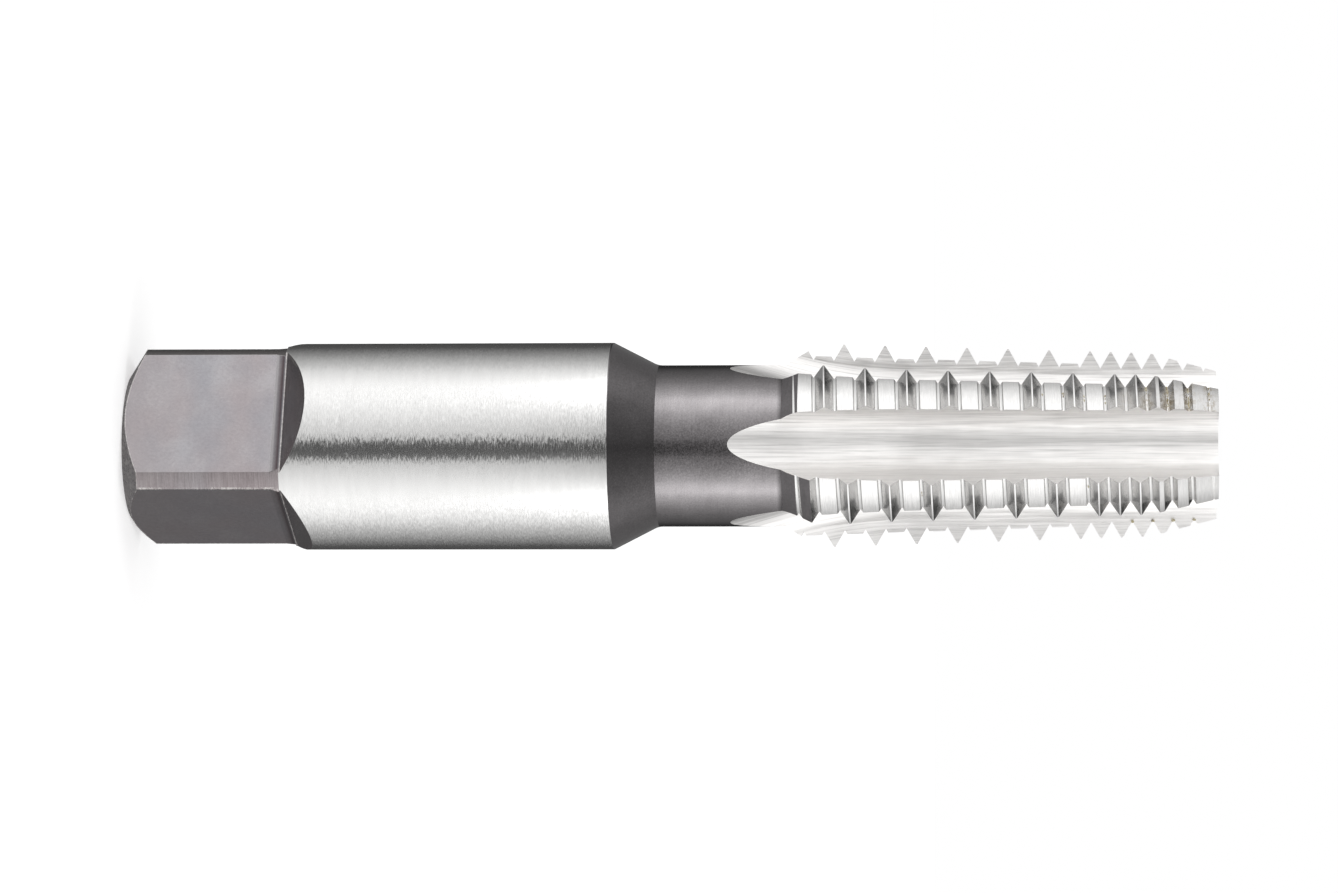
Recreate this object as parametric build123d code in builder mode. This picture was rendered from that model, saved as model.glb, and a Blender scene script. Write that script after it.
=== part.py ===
from build123d import *
from math import cos, radians, sin, tan
import os

# Taper pipe tap with an interrupted thread, ground from one bar of tool steel.
# The tap stands on its square drive end: Z is its axis and the point is at the top.
# Lengths are in millimetres and angles in degrees. Bearings are about +Z, from +X.

# Square drive end
end_face_diameter = 10.06
end_chamfer_angle = 33.0  # between the chamfer and the end face
corner_diameter = 13.96  # across the rounded corners of the square
square_size = 10.69  # across the flats
square_length = 11.11  # end face to the ground shank
square_bearing = 64.4  # outward direction of the first flat
flat_length = 10.45  # end face to the run-out of each flat
runout_length = 0.62  # shallow slope that ends each flat
runout_rise = 0.14  # how far that slope climbs out of the flat
lip_length = 0.13  # narrow strip between the slope and the ramp
shoulder_angle = 45.0  # ramp from the strip up to the shank

# Shank and neck
shank_diameter = 14.29
shank_length = 22.46
cone_half_angle = 27.1
neck_diameter = 11.15
neck_length = 8.69  # between the cone and the thread
neck_blend = 0.27  # how far the blend between cone and neck reaches along each

# Thread
threads_per_inch = 18
taper = 1 / 16  # on the diameter
thread_length = 29.67
point_crest_diameter = 12.40  # over the crests at the point, before its chamfer
crest_flat = 0.10
flank_angle = 30.0
stub_height = 0.28  # what is left of each tooth that is ground away
full_teeth_length = 8.1  # nearer the point than this, every tooth is left
crest_phase = 0.209  # point to the first crest, in the middle of the first land
point_chamfer_length = 4.62
point_chamfer_angle = 15.0
back_chamfer_angle = 30.5

# Lands and flutes
land_count = 5
first_land_bearing = 162.0
web_diameter = 6.10  # solid core between the flutes
flute_bottom_radius = 2.25
cutting_wall_angle = 14.0  # cutting face, from the middle plane of its flute
heel_wall_angle = 22.6  # back of the next land, from the same plane
flute_shift = 1.0  # turn of the flutes towards the cutting faces, off mid-way
flute_wheel_diameter = 62.0
flute_exit_angle = 17.2  # slope on which the flutes leave the steel, past the wheel's arc
flute_runout_length = 3.65  # how far the flutes run out into the neck

# Centre holes
rear_centre_diameter = 4.20
rear_pilot_diameter = 2.00
point_centre_diameter = 2.80
point_pilot_diameter = 1.30
centre_angle = 60.0
pilot_depth = 2.5

inch = 25.4
clear = 1.5  # how far the cutters reach past what they cut
core_depth = 0.4  # the core of the lands lies this far below the roots
comb_share = 0.75  # of the step between lands, wide enough for the flutes to trim

# Radii
end_face_radius = end_face_diameter / 2
corner_radius = corner_diameter / 2
shank_radius = shank_diameter / 2
neck_radius = neck_diameter / 2
web_radius = web_diameter / 2
wheel_radius = flute_wheel_diameter / 2
flat_distance = square_size / 2

# Heights along the axis
cone_length = (shank_radius - neck_radius) / tan(radians(cone_half_angle))
shank_top = square_length + shank_length
neck_base = shank_top + cone_length
thread_base = neck_base + neck_length
point = thread_base + thread_length

pitch = inch / threads_per_inch
tooth_height = (pitch - crest_flat) / 2 / tan(radians(flank_angle))
land_step = 360 / land_count


def crest_radius(z):
    return point_crest_diameter / 2 + (point - z) * taper / 2


def root_radius(z):
    return crest_radius(z) - tooth_height


def radial_plane(bearing):
    """Plane through the axis, with X outward along the bearing and Y up the tap."""
    outward = Vector(cos(radians(bearing)), sin(radians(bearing)), 0)
    return Plane(origin=(0, 0, 0), x_dir=outward, z_dir=outward.cross(Vector(0, 0, 1)))


# The core of the lands follows the taper
core_base = thread_base + clear
core_point_radius = root_radius(point) - core_depth
envelope_radius = crest_radius(thread_base) + clear

# Blank: square end, shank, cone, neck and the core of the lands
with BuildPart() as tap:
    end_chamfer_rise = (corner_radius - end_face_radius) * tan(radians(end_chamfer_angle))
    blend_start = (
        neck_radius + neck_blend * sin(radians(cone_half_angle)),
        neck_base - neck_blend * cos(radians(cone_half_angle)),
    )
    blend_end = (neck_radius, neck_base + neck_blend)
    with BuildSketch(Plane.XZ):
        with BuildLine():
            Bezier(blend_start, (neck_radius, neck_base), blend_end)
            Polyline(
                blend_end,
                (neck_radius, core_base),
                (core_point_radius, point),
                (0, point),
                (0, 0),
                (end_face_radius, 0),
                (corner_radius, end_chamfer_rise),
                (corner_radius, square_length),
                (shank_radius, square_length),
                (shank_radius, shank_top),
                blend_start,
            )
        make_face()
    revolve(axis=Axis.Z)

# Lands: on each, a comb of teeth swept along the thread's helix
comb_inner_radius = core_point_radius - core_depth
sweep_angle = land_step * comb_share
with BuildPart() as lands:
    for land in range(land_count):
        start_bearing = first_land_bearing + land * land_step - sweep_angle / 2
        start_height = pitch * (land / land_count - sweep_angle / 2 / 360)
        crest_at_point = point - crest_phase + start_height
        lowest_tooth = int(thread_length / pitch) + 2
        comb_outline = []
        for tooth in range(lowest_tooth, -2, -1):
            z = crest_at_point - tooth * pitch
            ground_away = (land + tooth) % 2 == 1 and z < point - full_teeth_length
            height = stub_height if ground_away else tooth_height
            half_top = pitch / 2 - height * tan(radians(flank_angle))
            comb_outline.append((root_radius(z - pitch / 2), z - pitch / 2))
            comb_outline.append((root_radius(z - half_top) + height, z - half_top))
            comb_outline.append((root_radius(z + half_top) + height, z + half_top))
        with BuildSketch(radial_plane(start_bearing)) as comb:
            with BuildLine():
                Polyline(
                    (comb_inner_radius, comb_outline[0][1]),
                    *comb_outline,
                    (comb_inner_radius, comb_outline[-1][1]),
                    close=True,
                )
            make_face()
        helix = Helix(pitch, pitch * sweep_angle / 360, neck_radius)
        sweep(path=Rotation(0, 0, start_bearing) * helix, is_frenet=True)

    # What the grinding of the end face and of both chamfers leaves of them
    chamfer_slope = tan(radians(point_chamfer_angle))
    back_slope = tan(radians(back_chamfer_angle))
    chamfer_base = point - point_chamfer_length
    end_radius = crest_radius(chamfer_base) - point_chamfer_length * chamfer_slope
    with BuildSketch(Plane.XZ):
        with BuildLine():
            Polyline(
                (0, point),
                (end_radius, point),
                (envelope_radius, point - (envelope_radius - end_radius) / chamfer_slope),
                (envelope_radius, thread_base + (envelope_radius - neck_radius) / back_slope),
                (0, thread_base - neck_radius / back_slope),
                close=True,
            )
        make_face()
    revolve(axis=Axis.Z, mode=Mode.INTERSECT)

# Flute cutter: one section, straight down from the point, round the wheel and out
exit_slope = tan(radians(flute_exit_angle))
exit_start = web_radius + wheel_radius * (1 - cos(radians(flute_exit_angle)))
exit_height = thread_base - flute_runout_length + (neck_radius - exit_start) / exit_slope
full_depth_base = exit_height + wheel_radius * sin(radians(flute_exit_angle))
exit_end = exit_height - (envelope_radius - exit_start) / exit_slope
bottom_centre = web_radius + flute_bottom_radius
walls = []
for side, angle in ((-1, cutting_wall_angle), (1, heel_wall_angle)):
    inner = bottom_centre - flute_bottom_radius * sin(radians(angle))
    inner_half = flute_bottom_radius * cos(radians(angle))
    outer_half = inner_half + (envelope_radius - inner) * tan(radians(angle))
    walls.append(((inner, side * inner_half), (envelope_radius, side * outer_half)))
with BuildPart() as flute:
    with BuildLine(Plane.XZ) as wheel_path:
        Line((web_radius, point + clear), (web_radius, full_depth_base))
        wheel_centre = (web_radius + wheel_radius, full_depth_base)
        CenterArc(wheel_centre, wheel_radius, 180, flute_exit_angle)
        Line((exit_start, exit_height), (envelope_radius, exit_end))
    with BuildSketch(Plane.XY.offset(point + clear)):
        with BuildLine():
            Polyline(walls[0][0], walls[0][1], walls[1][1], walls[1][0])
            ThreePointArc(walls[0][0], (web_radius, 0), walls[1][0])
        make_face()
    sweep(path=wheel_path.line)

# Square cutter: a flat, its shallow run-out, the strip and the ramp up to the shank
lip_distance = flat_distance + runout_rise
ramp_end = shank_radius + clear
ramp_start = flat_length + runout_length + lip_length
ramp_rise = (ramp_end - lip_distance) / tan(radians(shoulder_angle))
with BuildPart() as flat:
    with BuildSketch(radial_plane(0)):
        with BuildLine():
            Polyline(
                (flat_distance, -clear),
                (flat_distance, flat_length),
                (lip_distance, flat_length + runout_length),
                (lip_distance, ramp_start),
                (ramp_end, ramp_start + ramp_rise),
                (ramp_end, -clear),
                close=True,
            )
        make_face()
    extrude(amount=shank_radius + clear, both=True)

# Centre holes: a short pilot and the cone that the grinding centres ran in
centre_slope = tan(radians(centre_angle / 2))
with BuildPart() as centres:
    for face, inward, cone_radius, pilot_radius in (
        (0, 1, rear_centre_diameter / 2, rear_pilot_diameter / 2),
        (point, -1, point_centre_diameter / 2, point_pilot_diameter / 2),
    ):
        cone_end = face + inward * (cone_radius - pilot_radius) / centre_slope
        pilot_end = cone_end + inward * pilot_depth
        with BuildSketch(Plane.XZ):
            with BuildLine():
                Polyline(
                    (0, face - inward * clear),
                    (cone_radius + clear * centre_slope, face - inward * clear),
                    (pilot_radius, cone_end),
                    (pilot_radius, pilot_end),
                    (0, pilot_end),
                    close=True,
                )
            make_face()
        revolve(axis=Axis.Z)

with tap:
    add(lands.part)
    first_flute_bearing = first_land_bearing + land_step / 2 - flute_shift
    with PolarLocations(0, land_count, start_angle=first_flute_bearing):
        add(flute.part, mode=Mode.SUBTRACT)
    with PolarLocations(0, 4, start_angle=square_bearing):
        add(flat.part, mode=Mode.SUBTRACT)
    add(centres.part, mode=Mode.SUBTRACT)

tap.part.label = "thread_tap"
os.makedirs("parts", exist_ok=True)
export_step(tap.part, "parts/thread_tap.step")
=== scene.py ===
import random
from math import atan2, cos, degrees, hypot, pi, radians, sin, tan

import bmesh
import bpy
from mathutils import Matrix, Vector


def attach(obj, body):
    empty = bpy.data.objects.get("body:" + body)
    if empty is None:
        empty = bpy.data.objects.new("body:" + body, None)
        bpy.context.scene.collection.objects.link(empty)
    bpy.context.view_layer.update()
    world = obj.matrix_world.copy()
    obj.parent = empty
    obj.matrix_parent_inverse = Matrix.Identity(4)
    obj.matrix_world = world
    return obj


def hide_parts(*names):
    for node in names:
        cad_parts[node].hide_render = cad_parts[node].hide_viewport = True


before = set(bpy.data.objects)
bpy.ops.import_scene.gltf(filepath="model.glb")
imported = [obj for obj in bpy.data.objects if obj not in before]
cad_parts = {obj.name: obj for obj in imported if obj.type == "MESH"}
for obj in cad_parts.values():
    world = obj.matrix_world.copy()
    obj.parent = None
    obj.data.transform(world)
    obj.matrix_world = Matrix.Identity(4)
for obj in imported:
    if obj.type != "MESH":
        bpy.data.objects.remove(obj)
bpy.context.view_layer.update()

# The tap stands on its square end with Z along its axis. Lengths below are in
# millimetres and angles in degrees. Bearings are about +Z, from +X. MM turns a
# length into Blender's metres.
MM = 0.001
HAIR = 0.01  # half the width over which one finish gives way to the next

# Square end
END_FACE_RADIUS = 5.03
END_CHAMFER = 33.0
CORNER_RADIUS = 6.98
SQUARE_LENGTH = 11.11
SQUARE_BEARING = 64.4
FLAT_STEP = 90.0
FLAT_DISTANCE = 5.345
FLAT_LENGTH = 10.45
RAMP_START = 11.19  # end of each flat's run-out and strip

# Shank and neck
SHANK_RADIUS = 7.145
SHANK_TOP = 33.57
NECK_BASE = 36.64

# Thread
THREAD_BASE = 45.33
POINT = 75.0
PITCH = 25.4 / 18
TAPER = 1 / 16
POINT_CREST = 6.20  # radius over the crests at the point
FIRST_LAND = 162.0
FIRST_CREST = 74.789  # height of the first crest, in the middle of the first land
TOOTH_HEIGHT = 1.1355
CORE_RADIUS = 4.6  # no root or oil is nearer the axis

# Flutes
FLUTE_COUNT = 5
FLUTE_STEP = 360 / FLUTE_COUNT
FLUTE_BEARING = 197.0
WEB_RADIUS = 3.05
FLUTE_BOTTOM = 2.25
CUTTING_WALL = 14.0
HEEL_WALL = 22.6
WHEEL_RADIUS = 31.0
FLUTE_FULL_DEPTH = 54.524
FLUTE_EXIT = 17.2
FLUTES_ABOVE = 41.0  # no flute reaches down to this height

# Zones of the tap's surface, in the order of their finishes
SQUARE, SHANK, NECK, FLUTE, THREAD = range(5)

# How steeply each turned or threaded face leans: the rise of its normal along the axis
END_CHAMFER_RISE = -0.839
CONE_RISE = 0.4555
BACK_CHAMFER_RISE = -0.5075
CREST_RISE = 0.0312
FLANK_RISE = 0.8655
POINT_CHAMFER_RISE = 0.2588
CENTRE_RISE = 0.5  # wall of a centre hole
SLOPES = {
    SQUARE: (0.0, END_CHAMFER_RISE, -CENTRE_RISE),
    SHANK: (0.0,),
    NECK: (0.0, CONE_RISE, BACK_CHAMFER_RISE),
    THREAD: (CREST_RISE, FLANK_RISE, -FLANK_RISE, POINT_CHAMFER_RISE, CENTRE_RISE, 0.0),
}

# How closely a facet has to match a surface to be counted as a part of it
FLUTE_MISS = 0.02
FLAT_MISS = 0.5  # in bearing
RISE_MISS = 0.03
UPRIGHT_RISE = 0.01
END_FACE_RISE = 0.999
SAME_WAY = 0.7  # cosine between the two normals

# Colours of what shows through the finishes or lies on them, and of a painted highlight
BARE_STEEL = (0.80, 0.77, 0.75)
# Painted highlight: a thin light line along the edge where the ground shank ends
PAINTED_RIM_HIGHLIGHT = 0.95
OIL_STAIN = (0.40, 0.33, 0.22)

# The camera, as it stood for the photograph
CAMERA_YAW = 4.0
CAMERA_ROLL = 0.125
CAMERA_AIM = (0.035, 0, 37.335)
CAMERA_DISTANCE = 355.3
SENSOR_WIDTH = 36.0
FOCAL_PIXELS = 5140
PICTURE_PIXELS = 1338

# The studio's sizes, in metres, and its plain light
FLOOR_HALF_SIZE = 3.0
FLOOR_GLOW = 0.45  # seen by the camera alone
ROOM_LIGHT = 0.75
LAMP_WIDTH, LAMP_HEIGHT = 0.3, 0.6
LAMP_BEARING = 60  # off the camera's side
LAMP_RISE = 0.35  # share of the distance
LAMP_DISTANCE = 0.8
LAMP_POWER = 0.9
TENT_RADIUS = 0.7
TENT_MIDDLE = 0.037

# Light of the tent's wall, where 1 is white. Each pair gives the angle from the
# camera's side, the same to the left and the right, and the light there.
LOW_BAND = (
    (0, 0.10), (5, 0.11), (9, 0.18), (12, 0.52), (16, 0.67), (24, 0.76), (36, 0.90),
    (50, 1.03), (60, 1.08), (68, 1.08), (76, 1.03), (84, 0.92), (92, 0.81), (102, 0.60),
    (114, 0.43), (128, 0.25), (146, 0.085), (180, 0.05))
MIDDLE_BAND = (
    (0, 0.0), (6, 0.04), (13, 0.18), (22, 0.30), (30, 0.48), (39, 0.88), (49, 1.5),
    (58, 2.4), (68, 2.8), (79, 1.7), (90, 1.05), (103, 0.63), (118, 0.37), (138, 0.18),
    (152, 0.05), (180, 0.01))
HIGH_BAND = (
    (0, 1.0), (8, 1.04), (16, 1.22), (28, 1.46), (54, 1.43), (68, 1.26), (80, 0.97),
    (90, 0.74), (104, 0.50), (120, 0.33), (150, 0.24), (180, 0.18))
ABOVE = (
    (0, 0.125), (20, 0.19), (40, 0.25), (62, 0.33), (75, 0.42), (92, 0.36), (108, 0.20),
    (126, 0.18), (141, 0.085), (154, 0.03), (180, 0.02))
BENEATH = (
    (0, 0.10), (40, 0.25), (62, 0.46), (75, 0.46), (91, 0.33), (108, 0.12), (120, 0.14),
    (140, 0.20), (157, 0.28), (180, 0.28))
FLASH = ((45, 0.0), (65, 0.70), (80, 0.55), (96, 0.0))
ZENITH = 0.6
BRIGHTEST = 3.0  # a ramp holds no more than 1, so it holds shares of this

# Crumbs of oil: the root they lie in, counted from the point, the first and the last
# bearing, and how many there are
CRUMB_ROWS = (
    (0, 222, 236, 5), (1, 221, 242, 15), (2, 221, 242, 14), (3, 222, 230, 4),
    (5, 227, 238, 4), (6, 228, 238, 4), (7, 229, 236, 3), (8, 230, 233, 1),
    (6, 300, 304, 2), (14, 303, 307, 2), (0, 1, 4, 5), (1, 1, 5, 6), (2, 1, 5, 5),
    (3, 1, 4, 2))
CRUMB_SIZE = 0.11
SMALLEST_CRUMB = 0.35  # share of the size
CRUMB_LIFT = 0.03  # how far a crumb's middle lies above the root
CRUMB_SCATTER = 0.05  # along the tap's axis
CRUMB_SEED = 3
PLACE_SEED = 6


# Wiring of a finish


class Finish:
    """The nodes of one finish. Lengths in it are millimetres on the tap."""

    def __init__(self, name):
        self.material = bpy.data.materials.new(name)
        self.material.use_nodes = True
        self.tree = self.material.node_tree
        self.shader = self.tree.nodes.get("Principled BSDF")
        coordinates = self.tree.nodes.new("ShaderNodeTexCoord").outputs["Object"]
        self.place = self.vector("DIVIDE", coordinates, (MM, MM, MM))
        self.x, self.y, self.z = self.parts(self.place)

    def feed(self, value, socket):
        if isinstance(value, bpy.types.NodeSocket):
            self.tree.links.new(value, socket)
        else:
            socket.default_value = value

    def parts(self, vector):
        node = self.tree.nodes.new("ShaderNodeSeparateXYZ")
        self.feed(vector, node.inputs[0])
        return node.outputs

    def joined(self, *values):
        node = self.tree.nodes.new("ShaderNodeCombineXYZ")
        for value, socket in zip(values, node.inputs):
            self.feed(value, socket)
        return node.outputs[0]

    def math(self, operation, first, second=0.0, third=0.0):
        node = self.tree.nodes.new("ShaderNodeMath")
        node.operation = operation
        for value, socket in zip((first, second, third), node.inputs):
            self.feed(value, socket)
        return node.outputs[0]

    def times(self, product, *factors):
        for factor in factors:
            product = self.math("MULTIPLY", product, factor)
        return product

    def most(self, largest, *values):
        for value in values:
            largest = self.math("MAXIMUM", largest, value)
        return largest

    def reach(self):
        """Distance from the tap's axis."""
        squares = self.math("ADD", self.times(self.x, self.x), self.times(self.y, self.y))
        return self.math("SQRT", squares)

    def vector(self, operation, first, second=(0, 0, 0)):
        node = self.tree.nodes.new("ShaderNodeVectorMath")
        node.operation = operation
        self.feed(first, node.inputs[0])
        self.feed(second, node.inputs[1])
        return node.outputs[0]

    def spread(self, value, low, high, to_low=0.0, to_high=1.0, smooth=False):
        """Maps low..high onto to_low..to_high and stops at both ends."""
        node = self.tree.nodes.new("ShaderNodeMapRange")
        node.interpolation_type = "SMOOTHSTEP" if smooth else "LINEAR"
        for given, socket in zip((value, low, high, to_low, to_high), node.inputs):
            self.feed(given, socket)
        return node.outputs[0]

    def stripe(self, value, middle, full, gone, strength=1.0):
        """A line at one value, at its strength as far as full and away at gone."""
        off = self.math("ABSOLUTE", self.math("SUBTRACT", value, middle))
        return self.spread(off, full, gone, strength, 0.0)

    def grain(self, size, detail=2.0, roughness=0.5, seed=0.0, place=None):
        """Noise whose lumps are about size[0] by size[1] by size[2] millimetres."""
        stretch = self.vector("DIVIDE", place or self.place, size)
        shifted = self.vector("ADD", stretch, (seed, seed * 0.7, seed * 1.3))
        node = self.tree.nodes.new("ShaderNodeTexNoise")
        self.feed(shifted, node.inputs["Vector"])
        self.feed(1.0, node.inputs["Scale"])
        self.feed(detail, node.inputs["Detail"])
        self.feed(roughness, node.inputs["Roughness"])
        return node.outputs[0]

    def mix(self, amount, first, second, blend="MIX"):
        node = self.tree.nodes.new("ShaderNodeMix")
        node.data_type, node.blend_type = "RGBA", blend
        self.feed(amount, node.inputs["Factor"])
        self.feed(rgba(first), node.inputs[6])
        self.feed(rgba(second), node.inputs[7])
        return node.outputs[2]

    def shaded(self, tone, factor, where=1.0):
        """The tone times a factor or a colour, there where it is wanted."""
        return self.mix(where, tone, factor, "MULTIPLY")

    def ramp(self, value, stops):
        node = self.tree.nodes.new("ShaderNodeValToRGB")
        stop_list = node.color_ramp.elements
        stop_list.remove(stop_list[1])
        stop_list[0].position, stop_list[0].color = stops[0][0], rgba(stops[0][1])
        for position, colour in stops[1:]:
            stop_list.new(position).color = rgba(colour)
        self.feed(value, node.inputs[0])
        return node.outputs[0]

    def tinted(self, brightness, tint):
        """From black at 0 to the tint at 1 and beyond."""
        return self.ramp(brightness, [(0.0, 0.0), (1.0, tint)])

    def dents(self, height, depth, over=None):
        """Relief on the surface, depth millimetres from the noise's 0 to its 1."""
        node = self.tree.nodes.new("ShaderNodeBump")
        self.feed(height, node.inputs["Height"])
        self.feed(depth * MM, node.inputs["Distance"])
        if over is not None:
            self.feed(over, node.inputs["Normal"])
        return node.outputs[0]

    def rounded(self, radius):
        """Normal with every edge eased by a radius, as light sees it."""
        node = self.tree.nodes.new("ShaderNodeBevel")
        node.samples = 4
        self.feed(radius * MM, node.inputs["Radius"])
        return node.outputs[0]

    def combed(self, noise, amount, normal=None):
        """Normal that leans from streak to streak, square to the tap's axis."""
        if normal is None:
            normal = self.tree.nodes.new("ShaderNodeNewGeometry").outputs["Normal"]
        across = self.vector("CROSS_PRODUCT", normal, (0, 0, 1))
        lean = self.times(self.math("SUBTRACT", noise, 0.5), amount)
        return self.leaning(normal, across, lean)

    def leaning(self, normal, direction, amount):
        """Normal that leans by an amount towards a direction."""
        turned = self.vector("MULTIPLY", direction, self.joined(amount, amount, amount))
        return self.vector("NORMALIZE", self.vector("ADD", normal, turned))

    def set(self, **inputs):
        for name, value in inputs.items():
            socket = self.shader.inputs[name.replace("_", " ")]
            self.feed(rgba(value) if socket.type == "RGBA" else value, socket)


def rgba(colour):
    if isinstance(colour, bpy.types.NodeSocket):
        return colour
    if isinstance(colour, (int, float)):
        colour = (colour, colour, colour)
    return (*colour[:3], 1.0)


def put(name, data):
    """A new object in the scene."""
    thing = bpy.data.objects.new(name, data)
    bpy.context.scene.collection.objects.link(thing)
    return thing


# The studio


def look_through_the_photograph():
    """The camera lies on its side, so the standing tap runs across the picture."""
    yaw, roll = radians(CAMERA_YAW), radians(CAMERA_ROLL)
    forward = Vector((0, cos(yaw), -sin(yaw)))
    right = Vector((0, sin(yaw), cos(yaw)))
    up = Vector((-1, 0, 0))
    right, up = right * cos(roll) - up * sin(roll), up * cos(roll) + right * sin(roll)
    lens = bpy.data.cameras.new("camera")
    lens.sensor_width = SENSOR_WIDTH
    lens.lens = FOCAL_PIXELS / PICTURE_PIXELS * SENSOR_WIDTH
    lens.clip_start, lens.clip_end = 0.01, 20
    camera = put("camera", lens)
    place = Vector(CAMERA_AIM) * MM - forward * CAMERA_DISTANCE * MM
    turn = Matrix((right, up, -forward)).transposed().to_4x4()
    camera.matrix_world = Matrix.Translation(place) @ turn
    bpy.context.scene.camera = camera


def white_room():
    """White where it is seen or mirrored, and a plain level of light elsewhere."""
    world = bpy.data.worlds.new("white_room")
    world.use_nodes = True
    nodes, links = world.node_tree.nodes, world.node_tree.links
    path = nodes.new("ShaderNodeLightPath")
    seen = path.outputs["Is Camera Ray"]
    for other in ("Is Glossy Ray", "Is Transmission Ray"):
        either = nodes.new("ShaderNodeMath")
        either.operation = "MAXIMUM"
        links.new(seen, either.inputs[0])
        links.new(path.outputs[other], either.inputs[1])
        seen = either.outputs[0]
    level = nodes.new("ShaderNodeMapRange")
    links.new(seen, level.inputs["Value"])
    level.inputs["To Min"].default_value = ROOM_LIGHT
    level.inputs["To Max"].default_value = 1.0
    background = nodes["Background"]
    background.inputs["Color"].default_value = (1, 1, 1, 1)
    links.new(level.outputs[0], background.inputs["Strength"])
    bpy.context.scene.world = world


def stage_piece(name, shape, material, hidden_from):
    """A part of the studio, which some kinds of light rays pass by."""
    mesh = bpy.data.meshes.new(name)
    shape.to_mesh(mesh)
    shape.free()
    mesh.materials.append(material)
    piece = put(name, mesh)
    for ray in hidden_from:
        setattr(piece, "visible_" + ray, False)


def pale_floor():
    """White paper under the tap, which still shows the tap's own soft shadow."""
    paper = Finish("white_paper")
    fibres = paper.grain((2, 2, 2), detail=3)
    paper.set(Base_Color=paper.mix(fibres, 0.80, 0.84), Roughness=0.9)
    path = paper.tree.nodes.new("ShaderNodeLightPath")
    glow = paper.times(path.outputs["Is Camera Ray"], FLOOR_GLOW)
    paper.set(Emission_Color=(1, 1, 1), Emission_Strength=glow)
    sheet = bmesh.new()
    bmesh.ops.create_grid(sheet, x_segments=1, y_segments=1, size=FLOOR_HALF_SIZE)
    stage_piece("floor", sheet, paper.material, hidden_from=("glossy",))


def light_tent():
    """A round tent that only polished metal sees. Each height has its own light."""
    cloth = Finish("tent_cloth")
    tree = cloth.tree
    tree.nodes.remove(cloth.shader)
    x, y, rise = cloth.parts(cloth.vector("NORMALIZE", cloth.place))

    # The bands are centred to one side of the camera, and to the other side behind the tap
    centre = cloth.spread(y, -1.0, 0.3, 0.065, -0.04)
    aside = cloth.math("ABSOLUTE", cloth.math("SUBTRACT", x, centre))
    angle = cloth.math("ARCTAN2", aside, cloth.times(y, -1.0))
    around = cloth.math("DIVIDE", angle, pi)

    def wall(lights):
        return cloth.ramp(around, [(at / 180, light / BRIGHTEST) for at, light in lights])

    # Upright faces see three bands, one above the other
    level = cloth.mix(cloth.spread(rise, -0.036, -0.022), wall(LOW_BAND), wall(MIDDLE_BAND))
    level = cloth.mix(cloth.spread(rise, 0.020, 0.045), level, wall(HIGH_BAND))

    # Chamfers, the cone and the flanks see what is well above and beneath
    steep = cloth.mix(cloth.spread(rise, -0.1, 0.1), wall(BENEATH), wall(ABOVE))
    height = cloth.math("ABSOLUTE", cloth.math("SUBTRACT", rise, 0.06))
    flash = cloth.shaded(wall(FLASH), cloth.spread(height, 0.69, 0.78, smooth=True))
    steep = cloth.mix(1.0, steep, flash, "ADD")
    steep = cloth.shaded(steep, cloth.spread(height, 0.86, 0.93, 1.0, 0.8))
    steep = cloth.mix(cloth.spread(rise, 0.86, 0.95), steep, ZENITH / BRIGHTEST)
    light = cloth.mix(cloth.spread(height, 0.42, 0.62, smooth=True), level, steep)

    glow = tree.nodes.new("ShaderNodeEmission")
    cloth.feed(light, glow.inputs["Color"])
    glow.inputs["Strength"].default_value = BRIGHTEST
    cloth.feed(glow.outputs[0], tree.nodes["Material Output"].inputs["Surface"])
    cloth.material.cycles.emission_sampling = "NONE"
    ball = bmesh.new()
    bmesh.ops.create_uvsphere(ball, u_segments=64, v_segments=32, radius=TENT_RADIUS)
    bmesh.ops.translate(ball, verts=ball.verts, vec=(0, 0, TENT_MIDDLE))
    bmesh.ops.reverse_faces(ball, faces=ball.faces)
    stage_piece("light_tent", ball, cloth.material,
                hidden_from=("camera", "diffuse", "transmission", "shadow"))


def soft_lamps():
    """Two wide lamps in front of the tap, one at each side."""
    bearing = radians(LAMP_BEARING)
    for name, side in (("lamp_left", -1), ("lamp_right", 1)):
        light = bpy.data.lights.new(name, "AREA")
        light.shape, light.size, light.size_y = "RECTANGLE", LAMP_WIDTH, LAMP_HEIGHT
        light.energy = LAMP_POWER
        lamp = put(name, light)
        lamp.location = Vector((side * sin(bearing), -cos(bearing), LAMP_RISE)) * LAMP_DISTANCE
        lamp.rotation_euler = (-lamp.location).to_track_quat("-Z", "Y").to_euler()
        lamp.visible_glossy = False


look_through_the_photograph()
bpy.context.scene.view_settings.view_transform = "Standard"
white_room()
pale_floor()
light_tent()
soft_lamps()


# The finishes of the tap


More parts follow.
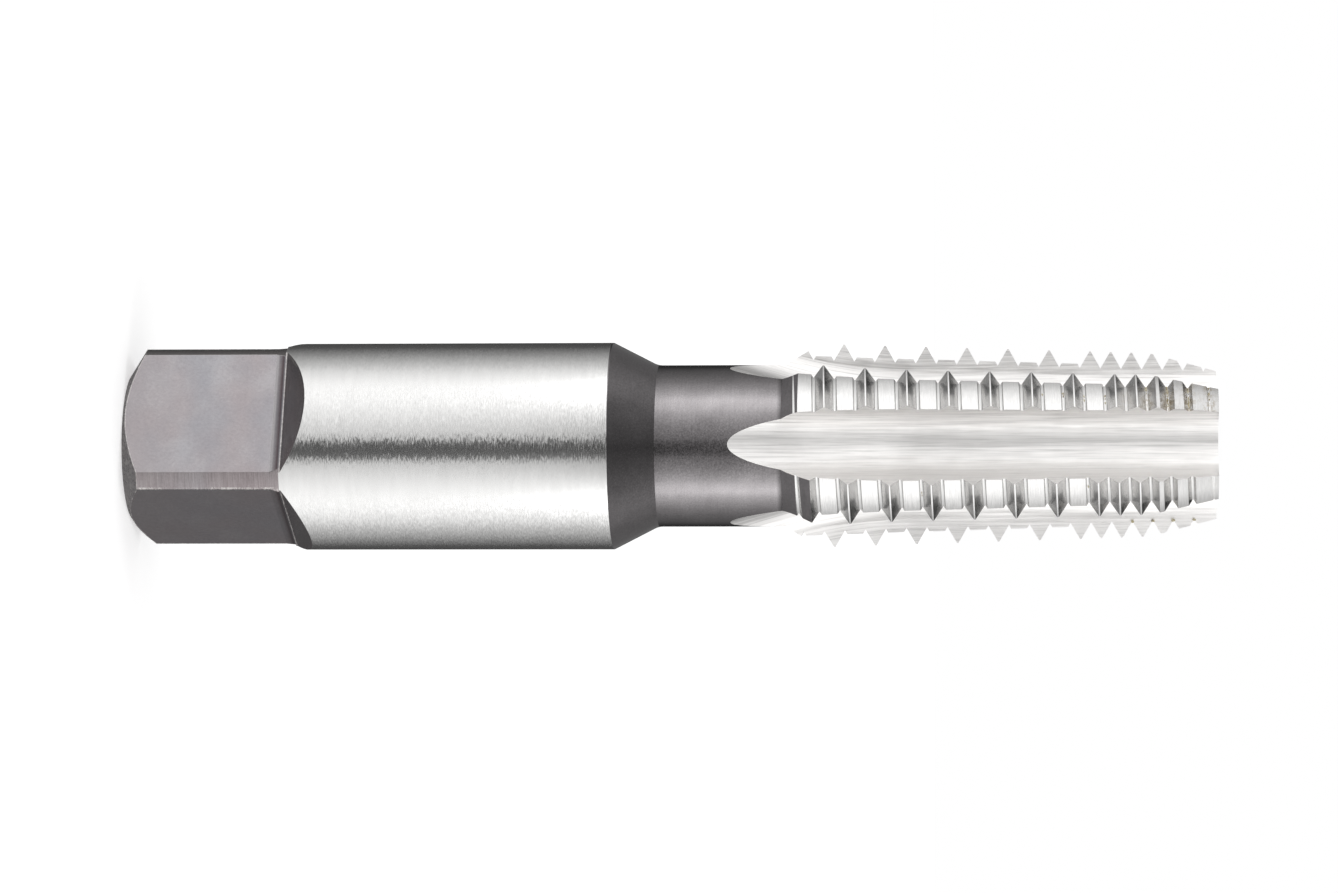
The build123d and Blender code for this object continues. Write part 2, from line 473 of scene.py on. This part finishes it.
def square_oxide():
    """Steam-blackened steel of the square end, clouded grey, violet and brown."""
    coat = Finish("square_oxide")
    cloud = coat.grain((3.0, 3.0, 2.6), detail=3)
    warm = coat.grain((4.5, 4.5, 3.5), seed=7)
    speck = coat.grain((0.16, 0.16, 0.22), detail=3, roughness=0.65, seed=3)
    tone = coat.ramp(cloud, [(0.32, (0.352, 0.334, 0.353)), (0.50, (0.378, 0.360, 0.376)),
                             (0.64, (0.422, 0.405, 0.418))])
    for amount, tint in (
            (coat.spread(warm, 0.48, 0.68, 0.0, 0.6), (0.396, 0.350, 0.356)),
            (coat.spread(warm, 0.50, 0.32, 0.0, 0.4), (0.345, 0.356, 0.385)),
            (coat.spread(coat.x, 1.0, 4.5, 0.0, 0.5), (0.356, 0.322, 0.338)),
            (coat.spread(coat.z, 5.0, 1.0, 0.0, 0.5), (0.375, 0.338, 0.344))):
        tone = coat.mix(amount, tone, tint)
    tone = coat.shaded(tone, coat.spread(speck, 0.25, 0.75, 0.93, 1.07))

    # Scored corners and ramps. The corner on the -X side, at the top of the camera's view, is
    # lighter.
    reach = coat.reach()
    on_corner = coat.spread(reach, CORNER_RADIUS - 3 * HAIR, CORNER_RADIUS - HAIR)
    on_ramp = coat.spread(coat.z, RAMP_START - HAIR, RAMP_START + HAIR)
    lighter_top_corner = coat.times(on_corner, coat.spread(coat.x, -5.4, -5.6))
    tone = coat.mix(lighter_top_corner, tone, (0.50, 0.485, 0.49))
    drawn = coat.grain((1.6, 1.6, 0.07), detail=3, roughness=0.6, seed=5)
    marks = coat.mix(coat.spread(drawn, 0.30, 0.70), (0.74, 0.705, 0.695), (1.0, 0.98, 0.965))
    tone = coat.shaded(tone, marks, where=coat.most(on_corner, on_ramp))

    # Each flat ends in a burnt, redder line of the wheel, darkened by painted shade where
    # the run-out steepens, with a strip of painted light before it on the front flat
    on_runout = coat.times(
        coat.spread(coat.z, RAMP_START + 2 * HAIR, RAMP_START),
        coat.spread(reach, CORNER_RADIUS - HAIR, CORNER_RADIUS - 3 * HAIR))
    painted_light_strip = coat.times(
        on_runout,
        coat.spread(coat.z, FLAT_LENGTH - HAIR, FLAT_LENGTH + HAIR),
        coat.spread(coat.z, FLAT_LENGTH + 0.15, FLAT_LENGTH + 0.27, 1.0, 0.0),
        coat.spread(coat.x, 1.9, 2.3, 1.0, 0.0))
    tone = coat.mix(painted_light_strip, tone, (0.58, 0.555, 0.57))
    burn_and_painted_shade = coat.ramp(coat.spread(coat.z, FLAT_LENGTH - 0.05, RAMP_START + HAIR), [
        (0.30, (1, 1, 1)), (0.48, (0.82, 0.79, 0.79)), (0.62, (0.54, 0.49, 0.50)),
        (0.72, (0.38, 0.30, 0.31)), (0.80, (0.46, 0.45, 0.46)), (0.92, (0.55, 0.54, 0.55))])
    tone = coat.shaded(tone, burn_and_painted_shade, where=on_runout)

    # Bright wear on the edges at the corners, on the end chamfer's edge and on the lip
    # before the ramp, broken where the coat still holds
    turn = radians(SQUARE_BEARING)
    from_middle = coat.math("ABSOLUTE", coat.math(
        "SUBTRACT", coat.times(coat.y, cos(turn)), coat.times(coat.x, sin(turn))))
    corner_edge = coat.times(
        coat.spread(reach, CORNER_RADIUS - 0.08, CORNER_RADIUS - 0.04),
        coat.spread(from_middle, FLAT_DISTANCE - 0.10, FLAT_DISTANCE - 0.06),
        coat.spread(coat.z, RAMP_START - 0.19, RAMP_START - 0.09, 1.0, 0.0))
    up_chamfer = coat.times(coat.math("SUBTRACT", reach, END_FACE_RADIUS),
                            tan(radians(END_CHAMFER)))
    end_edge = coat.stripe(coat.math("SUBTRACT", coat.z, up_chamfer), 0.03, 0.02, 0.05)
    lip = coat.stripe(coat.z, RAMP_START - 0.02, 0.02, 0.05)
    chips = coat.grain((0.25, 0.25, 0.22), detail=3, roughness=0.7, seed=11)
    nicks = coat.grain((0.3, 0.3, 0.13), detail=4, roughness=0.75, seed=13)
    knocked = coat.grain((5.0, 5.0, 2.2), seed=21)
    worn = coat.most(
        coat.times(corner_edge, coat.spread(nicks, 0.46, 0.60, 0.05, 0.95),
                   coat.spread(knocked, 0.40, 0.54, 0.12, 1.0)),
        coat.times(end_edge, coat.spread(chips, 0.42, 0.60, 0.1, 0.7)),
        coat.times(lip, coat.spread(chips, 0.40, 0.60, 0.3, 0.9)))
    coat.set(Base_Color=coat.mix(worn, tone, BARE_STEEL), Metallic=1.0)
    polish = coat.spread(speck, 0.3, 0.7, 0.20, 0.27)
    coat.set(Roughness=coat.math("MULTIPLY_ADD", worn, 0.4, polish))
    coat.set(Normal=coat.dents(speck, 0.002, coat.rounded(0.06)))
    return coat.material


def clouded_oxide(finish):
    """Tone of the black coat on the cone and the neck, with finer clouds."""
    cloud = finish.grain((1.6, 1.6, 1.6), detail=4, roughness=0.6)
    return finish.ramp(cloud, [(0.28, (0.238, 0.225, 0.230)), (0.72, (0.290, 0.275, 0.281))])


def neck_oxide():
    """The black coat over a turned surface."""
    coat = Finish("neck_oxide")
    turning = coat.grain((2.5, 2.5, 0.08), seed=5)
    speck = coat.grain((0.13, 0.13, 0.13), detail=3, roughness=0.65, seed=2)

    # Painted shade: darker in the corner by the cone, and where the neck meets the thread
    painted_shade_by_cone = coat.spread(coat.z, NECK_BASE + 0.16, NECK_BASE + 1.36, 0.93, 1.0)
    painted_shade_by_thread = coat.spread(coat.z, THREAD_BASE - 0.35, THREAD_BASE - HAIR, 1.0, 0.38)
    on_thread = coat.spread(coat.z, THREAD_BASE - HAIR, THREAD_BASE + HAIR)
    # The shade holds the turning marks and specks, and the painted shade by the cone and by the
    # thread
    shade = coat.times(
        coat.spread(turning, 0.3, 0.7, 0.965, 1.035),
        coat.spread(speck, 0.25, 0.75, 0.82, 1.18),
        coat.most(painted_shade_by_thread, on_thread), painted_shade_by_cone)
    coat.set(Base_Color=coat.shaded(clouded_oxide(coat), shade), Metallic=1.0)
    polish = coat.spread(speck, 0.3, 0.7, 0.12, 0.18)
    coat.set(Roughness=coat.math("MULTIPLY_ADD", on_thread, 0.35, polish))
    coat.set(Normal=coat.dents(speck, 0.0015))
    return coat.material


def ground_shank():
    """Round-ground steel up to a line a little askew, and black coat beyond it."""
    steel = Finish("ground_shank")
    streak = steel.grain((0.32, 0.32, 0.065), detail=3, roughness=0.65)
    broad = steel.grain((2.2, 2.2, 0.5), seed=4)
    bright = steel.times(steel.spread(streak, 0.28, 0.72, 0.80, 0.93),
                         steel.spread(broad, 0.3, 0.7, 0.97, 1.03))
    ground = steel.tinted(bright, (1.0, 0.995, 0.985))
    edge = steel.math("MULTIPLY_ADD", steel.x, 0.017, SHANK_TOP + HAIR)
    past_edge = steel.math("SUBTRACT", steel.z, edge)
    tone = steel.mix(steel.spread(past_edge, -0.004, 0.004), ground, clouded_oxide(steel))
    # Painted highlight: a thin light line at the edge of the ground steel, which is also a
    # little rougher there
    painted_rim_highlight = steel.stripe(past_edge, -0.03, 0.03, 0.06, strength=0.12)
    steel.set(Base_Color=steel.mix(painted_rim_highlight, tone, PAINTED_RIM_HIGHLIGHT), Metallic=1.0)
    polish = steel.spread(streak, 0.3, 0.7, 0.09, 0.16)
    steel.set(Roughness=steel.math("MULTIPLY_ADD", painted_rim_highlight, 0.35, polish))
    steel.set(Normal=steel.combed(streak, 0.30))
    return steel.material


def along_flute(steel):
    """Where a point lies in its flute: its place for a pattern, across and in depth."""
    step = radians(FLUTE_STEP)
    bearing = steel.math("ARCTAN2", steel.y, steel.x)
    turned = steel.math("DIVIDE", steel.math("SUBTRACT", bearing, radians(FLUTE_BEARING)), step)
    turned = steel.math("ADD", turned, 0.5)
    off = steel.times(steel.math("SUBTRACT", steel.math("FRACT", turned), 0.5), step)
    reach = steel.reach()
    across = steel.times(reach, steel.math("SINE", off))
    out = steel.times(reach, steel.math("COSINE", off))

    # The bottom stays level, then climbs round the wheel and out along the exit
    drop = steel.most(steel.math("SUBTRACT", FLUTE_FULL_DEPTH, steel.z), 0.0)
    round_wheel = steel.math("MINIMUM", drop, WHEEL_RADIUS * sin(radians(FLUTE_EXIT)))
    squared = steel.times(round_wheel, round_wheel)
    below_axle = steel.math("SQRT", steel.math("SUBTRACT", WHEEL_RADIUS ** 2, squared))
    bottom = steel.math("SUBTRACT", WEB_RADIUS + WHEEL_RADIUS, below_axle)
    exit_run = steel.math("SUBTRACT", drop, round_wheel)
    bottom = steel.math("MULTIPLY_ADD", exit_run, tan(radians(FLUTE_EXIT)), bottom)
    depth = steel.math("SUBTRACT", out, bottom)

    # Each flute has its own stretch of the pattern
    number = steel.math("FLOORED_MODULO", steel.math("FLOOR", turned), FLUTE_COUNT)
    place = steel.joined(steel.math("MULTIPLY_ADD", number, 20.0, across), depth, steel.z)
    return place, across, depth


def flute_steel():
    """Bright steel with the long straight marks of the flute wheel."""
    steel = Finish("flute_steel")
    place, across, depth = along_flute(steel)
    lines = steel.grain((0.14, 0.14, 7.0), detail=3, roughness=0.6, place=place)
    hair = steel.grain((0.10, 0.10, 5.0), roughness=0.6, seed=12, place=place)
    bands = steel.grain((0.55, 0.55, 24), seed=6, place=place)
    blotch = steel.grain((1.5, 1.5, 1.6), seed=9)

    # Painted shade: a darker band along the bottom, nearer the cutting face, a painted dark
    # reflection
    half_width = 2.5
    painted_dark_band = steel.ramp(
        steel.spread(across, -half_width, half_width),
        [((at + half_width) / (2 * half_width), tone) for at, tone in (
            (-1.6, 0.95), (-1.2, 0.88), (-0.9, 0.735), (-0.6, 0.66), (-0.35, 0.66),
            (-0.1, 0.815), (0.2, 0.865), (0.8, 0.82), (1.1, 0.875), (1.5, 1.0))])
    bright = steel.times(
        steel.spread(lines, 0.36, 0.64, 0.94, 1.10),
        steel.spread(hair, 0.34, 0.52, 0.86, 1.05),
        steel.spread(bands, 0.3, 0.7, 0.95, 1.04),
        steel.spread(blotch, 0.3, 0.7, 0.96, 1.03),
        painted_dark_band, steel.spread(depth, 1.4, 2.4, 1.0, 0.88))
    steel.set(Base_Color=steel.tinted(bright, (1.0, 0.985, 0.970)), Metallic=0.75)
    steel.set(Roughness=steel.spread(lines, 0.3, 0.7, 0.28, 0.38))
    steel.set(Normal=steel.combed(lines, 0.7))
    return steel.material


def from_root(steel):
    """How far along the tap a point lies from the nearest root of the thread."""
    turn = steel.math("DIVIDE", steel.math("ARCTAN2", steel.y, steel.x), 2 * pi)
    climb = steel.math("SUBTRACT", steel.math("DIVIDE", steel.z, PITCH), turn)
    start = FIRST_LAND / 360 - FIRST_CREST / PITCH
    phase = steel.math("FRACT", steel.math("ADD", climb, start))
    off = steel.times(steel.math("SUBTRACT", phase, 0.5), PITCH)
    return steel.math("ABSOLUTE", off)


def thread_steel():
    """Bright ground threads: fine lines round the tap and a lit line in each root."""
    steel = Finish("thread_steel")
    lines = steel.grain((0.9, 0.9, 0.045), roughness=0.6)
    patch = steel.grain((0.8, 0.8, 0.8), seed=8)
    bright = steel.times(steel.spread(lines, 0.25, 0.75, 0.68, 0.80),
                         steel.spread(patch, 0.3, 0.7, 0.97, 1.03))
    tone = steel.tinted(bright, (1.0, 0.992, 0.982))

    # Neither the roots' light nor any oil is on the end face or in its centre hole
    threaded = steel.times(
        steel.spread(steel.reach(), CORE_RADIUS - 0.1, CORE_RADIUS + 0.1),
        steel.spread(steel.z, POINT - 3 * HAIR, POINT - HAIR, 1.0, 0.0))

    # Oil stains: by the roots near the point, and along the lowest teeth of the photograph
    to_root = from_root(steel)
    oil = steel.grain((0.35, 0.35, 0.30), detail=3, roughness=0.65, seed=15)
    by_root = steel.times(
        steel.spread(oil, 0.46, 0.60),
        steel.spread(steel.z, POINT - 7.0, POINT - 3.5),
        steel.spread(to_root, 0.10, 0.50, 0.70, 0.08),
        steel.spread(steel.x, 0.5, -2.0, 0.10, 1.0))
    on_lowest = steel.times(
        steel.spread(steel.x, 5.1, 5.4),
        steel.spread(steel.z, POINT - 15.0, POINT - 5.0),
        steel.spread(oil, 0.42, 0.52, 0.1, 0.7))
    stain = steel.times(steel.most(by_root, on_lowest), threaded)
    steel.set(Base_Color=steel.mix(stain, tone, OIL_STAIN), Metallic=1.0)
    polish = steel.spread(patch, 0.3, 0.7, 0.18, 0.22)
    steel.set(Roughness=steel.math("MULTIPLY_ADD", stain, 0.3, polish))

    # The narrow round bottom of each root faces outwards
    normal = steel.combed(lines, 0.06, steel.rounded(0.02))
    outward = steel.vector("NORMALIZE", steel.vector("MULTIPLY", steel.place, (1, 1, 0)))
    in_root = steel.times(steel.spread(to_root, 0.07, 0.09, 1.0, 0.0), threaded, 4.0)
    steel.set(Normal=steel.leaning(normal, outward, in_root))
    return steel.material


def dried_oil():
    """Yellow and brown crumbs of dried cutting oil."""
    crumb = Finish("dried_oil")
    shade = crumb.grain((0.25, 0.25, 0.25), seed=1)
    crumb.set(Base_Color=crumb.ramp(shade, [
        (0.35, (0.16, 0.11, 0.05)), (0.48, (0.50, 0.42, 0.22)), (0.65, (0.78, 0.74, 0.58))]))
    crumb.set(Roughness=crumb.spread(shade, 0.3, 0.7, 0.35, 0.6))
    return crumb.material


# The tap


def on_flute(corner):
    """How far a point is off the nearest flute's ground surface, and its normal."""
    bearing = degrees(atan2(corner.y, corner.x))
    off = (bearing - FLUTE_BEARING + FLUTE_STEP / 2) % FLUTE_STEP - FLUTE_STEP / 2
    middle = radians(bearing - off)
    outward = Vector((cos(middle), sin(middle), 0))
    sideways = Vector((-sin(middle), cos(middle), 0))
    out, across, up = corner.dot(outward), corner.dot(sideways), Vector((0, 0, 1))
    to_axle = Vector((WEB_RADIUS + WHEEL_RADIUS - out, max(FLUTE_FULL_DEPTH - corner.z, 0)))
    turn = min(atan2(to_axle.y, to_axle.x), radians(FLUTE_EXIT))
    deeper = Vector((cos(turn), sin(turn)))
    depth = WEB_RADIUS + WHEEL_RADIUS - to_axle.dot(deeper)
    from_centre = depth - WEB_RADIUS - FLUTE_BOTTOM
    wall = radians(CUTTING_WALL if across < 0 else HEEL_WALL)
    if from_centre < -FLUTE_BOTTOM * sin(wall):
        miss = hypot(from_centre, across) - FLUTE_BOTTOM
        inward, over = -from_centre, -across
    else:
        miss = (abs(across) - from_centre * tan(wall)) * cos(wall) - FLUTE_BOTTOM
        inward, over = sin(wall), (cos(wall) if across < 0 else -cos(wall))
    normal = (outward * deeper.x + up * deeper.y) * inward + sideways * over
    return abs(miss), normal.normalized()


def true_normal(place, facing, zone):
    """The normal that the exact surface has at a corner of one of its facets."""
    if zone == FLUTE:
        return on_flute(place)[1]
    bearing = degrees(atan2(facing.y, facing.x))
    off_flat = (bearing - SQUARE_BEARING + FLAT_STEP / 2) % FLAT_STEP - FLAT_STEP / 2
    above_chamfer = facing.z > END_CHAMFER_RISE + RISE_MISS
    on_flat = zone == SQUARE and abs(off_flat) < FLAT_MISS and above_chamfer
    on_end_face = abs(facing.z) > END_FACE_RISE
    if on_flat or on_end_face:
        return facing
    rise = min(SLOPES[zone], key=lambda slope: abs(slope - facing.z))
    out = Vector((place.x, place.y, 0)).normalized()
    if facing.dot(out) < 0:
        out = -out
    slip = 0.0
    if rise in (CREST_RISE, FLANK_RISE, -FLANK_RISE):
        slip = -PITCH * rise / (2 * pi * hypot(place.x, place.y))
    around = Vector((-out.y, out.x, 0))
    along = Vector((0, 0, rise))
    return (out * (1 - rise * rise) ** 0.5 + around * slip + along).normalized()


def zone_of(face):
    """The zone that a facet lies in, from its place and the way it faces."""
    centre = face.calc_center_median() / MM
    by_flute = centre.z > FLUTES_ABOVE and all(
        on_flute(corner.co / MM)[0] < FLUTE_MISS for corner in face.verts)
    if by_flute and face.normal.dot(on_flute(centre)[1]) > SAME_WAY:
        return FLUTE
    if centre.z > THREAD_BASE - HAIR:
        on_back_chamfer = abs(face.normal.z - BACK_CHAMFER_RISE) < RISE_MISS
        return NECK if on_back_chamfer else THREAD
    if centre.z > SHANK_TOP:
        return NECK
    upright = abs(face.normal.z) < UPRIGHT_RISE and centre.z > SQUARE_LENGTH
    reach = min(hypot(corner.co.x, corner.co.y) for corner in face.verts) / MM
    return SHANK if upright and reach > SHANK_RADIUS - HAIR else SQUARE


def dressed_tap():
    """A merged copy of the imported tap, with its finishes and its exact normals."""
    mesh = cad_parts["thread_tap"].data.copy()
    mesh.name = "tap"
    mesh.materials.clear()
    for finish in (square_oxide, ground_shank, neck_oxide, flute_steel, thread_steel):
        mesh.materials.append(finish())
    work = bmesh.new()
    work.from_mesh(mesh)
    bmesh.ops.remove_doubles(work, verts=work.verts, dist=1e-6)
    for face in work.faces:
        face.material_index = zone_of(face)
        face.smooth = True
    normals = [true_normal(corner.vert.co / MM, face.normal, face.material_index)
               for face in work.faces for corner in face.loops]
    work.to_mesh(mesh)
    work.free()
    mesh.attributes.remove(mesh.attributes["custom_normal"])
    mesh.normals_split_custom_set(normals)
    piece = put("tap", mesh)
    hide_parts("thread_tap")
    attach(piece, "root")


def crumb_tree(finish):
    """Geometry nodes: a crumb of random size and turn on every point they are given."""
    tree = bpy.data.node_groups.new("crumbs", "GeometryNodeTree")
    ports = {}
    for name, kind in (("Points", "NodeSocketGeometry"), ("Crumb Size", "NodeSocketFloat"),
                       ("Smallest", "NodeSocketFloat"), ("Seed", "NodeSocketInt")):
        port = tree.interface.new_socket(name, in_out="INPUT", socket_type=kind)
        ports[name] = port.identifier
    tree.interface.new_socket("Crumbs", in_out="OUTPUT", socket_type="NodeSocketGeometry")
    given = tree.nodes.new("NodeGroupInput").outputs
    link = tree.links.new

    crumb = tree.nodes.new("GeometryNodeMeshIcoSphere")
    crumb.inputs["Subdivisions"].default_value = 2
    link(given["Crumb Size"], crumb.inputs["Radius"])
    chances = []
    for largest in ((1, 1, 1), (2 * pi, 2 * pi, 2 * pi)):
        chance = tree.nodes.new("FunctionNodeRandomValue")
        chance.data_type = "FLOAT_VECTOR"
        chance.inputs[1].default_value = largest
        link(given["Seed"], chance.inputs["Seed"])
        chances.append(chance)
    size, turn = chances
    link(given["Smallest"], size.inputs[0])

    place = tree.nodes.new("GeometryNodeInstanceOnPoints")
    link(given["Points"], place.inputs["Points"])
    link(crumb.outputs["Mesh"], place.inputs["Instance"])
    link(turn.outputs[0], place.inputs["Rotation"])
    link(size.outputs[0], place.inputs["Scale"])
    last = place.outputs["Instances"]
    for kind in ("GeometryNodeRealizeInstances", "GeometryNodeSetShadeSmooth",
                 "GeometryNodeSetMaterial"):
        step = tree.nodes.new(kind)
        link(last, step.inputs["Geometry"])
        last = step.outputs["Geometry"]
    step.inputs["Material"].default_value = finish
    link(last, tree.nodes.new("NodeGroupOutput").inputs[0])
    return tree, ports


def root_place(bearing, root):
    """A point in the thread's root, counted from the point of the tap."""
    z = FIRST_CREST + PITCH * ((bearing - FIRST_LAND) / 360 - 0.5 - root)
    reach = POINT_CREST + (POINT - z) * TAPER / 2 - TOOTH_HEIGHT + CRUMB_LIFT
    return Vector((reach * cos(radians(bearing)), reach * sin(radians(bearing)), z)) * MM


def oil_crumbs():
    """Crumbs in the roots, thickest near the point, as the photograph shows them."""
    chance = random.Random(PLACE_SEED)
    points = []
    for root, first, last, count in CRUMB_ROWS:
        for _ in range(count):
            spot = root_place(chance.uniform(first, last), root)
            aside = chance.uniform(-CRUMB_SCATTER, CRUMB_SCATTER) * MM
            points.append(spot + Vector((0, 0, aside)))
    seeds = bpy.data.meshes.new("crumb_points")
    seeds.from_pydata(points, [], [])
    holder = put("crumb_points", seeds)
    tree, ports = crumb_tree(dried_oil())
    maker = holder.modifiers.new("crumbs", "NODES")
    maker.node_group = tree
    maker[ports["Crumb Size"]] = CRUMB_SIZE * MM
    maker[ports["Smallest"]] = SMALLEST_CRUMB
    maker[ports["Seed"]] = CRUMB_SEED
    bpy.context.view_layer.update()
    solid = holder.evaluated_get(bpy.context.evaluated_depsgraph_get())
    mesh = bpy.data.meshes.new_from_object(solid)
    bpy.data.objects.remove(holder)
    piece = put("dried_oil", mesh)
    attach(piece, "root")


dressed_tap()
oil_crumbs()
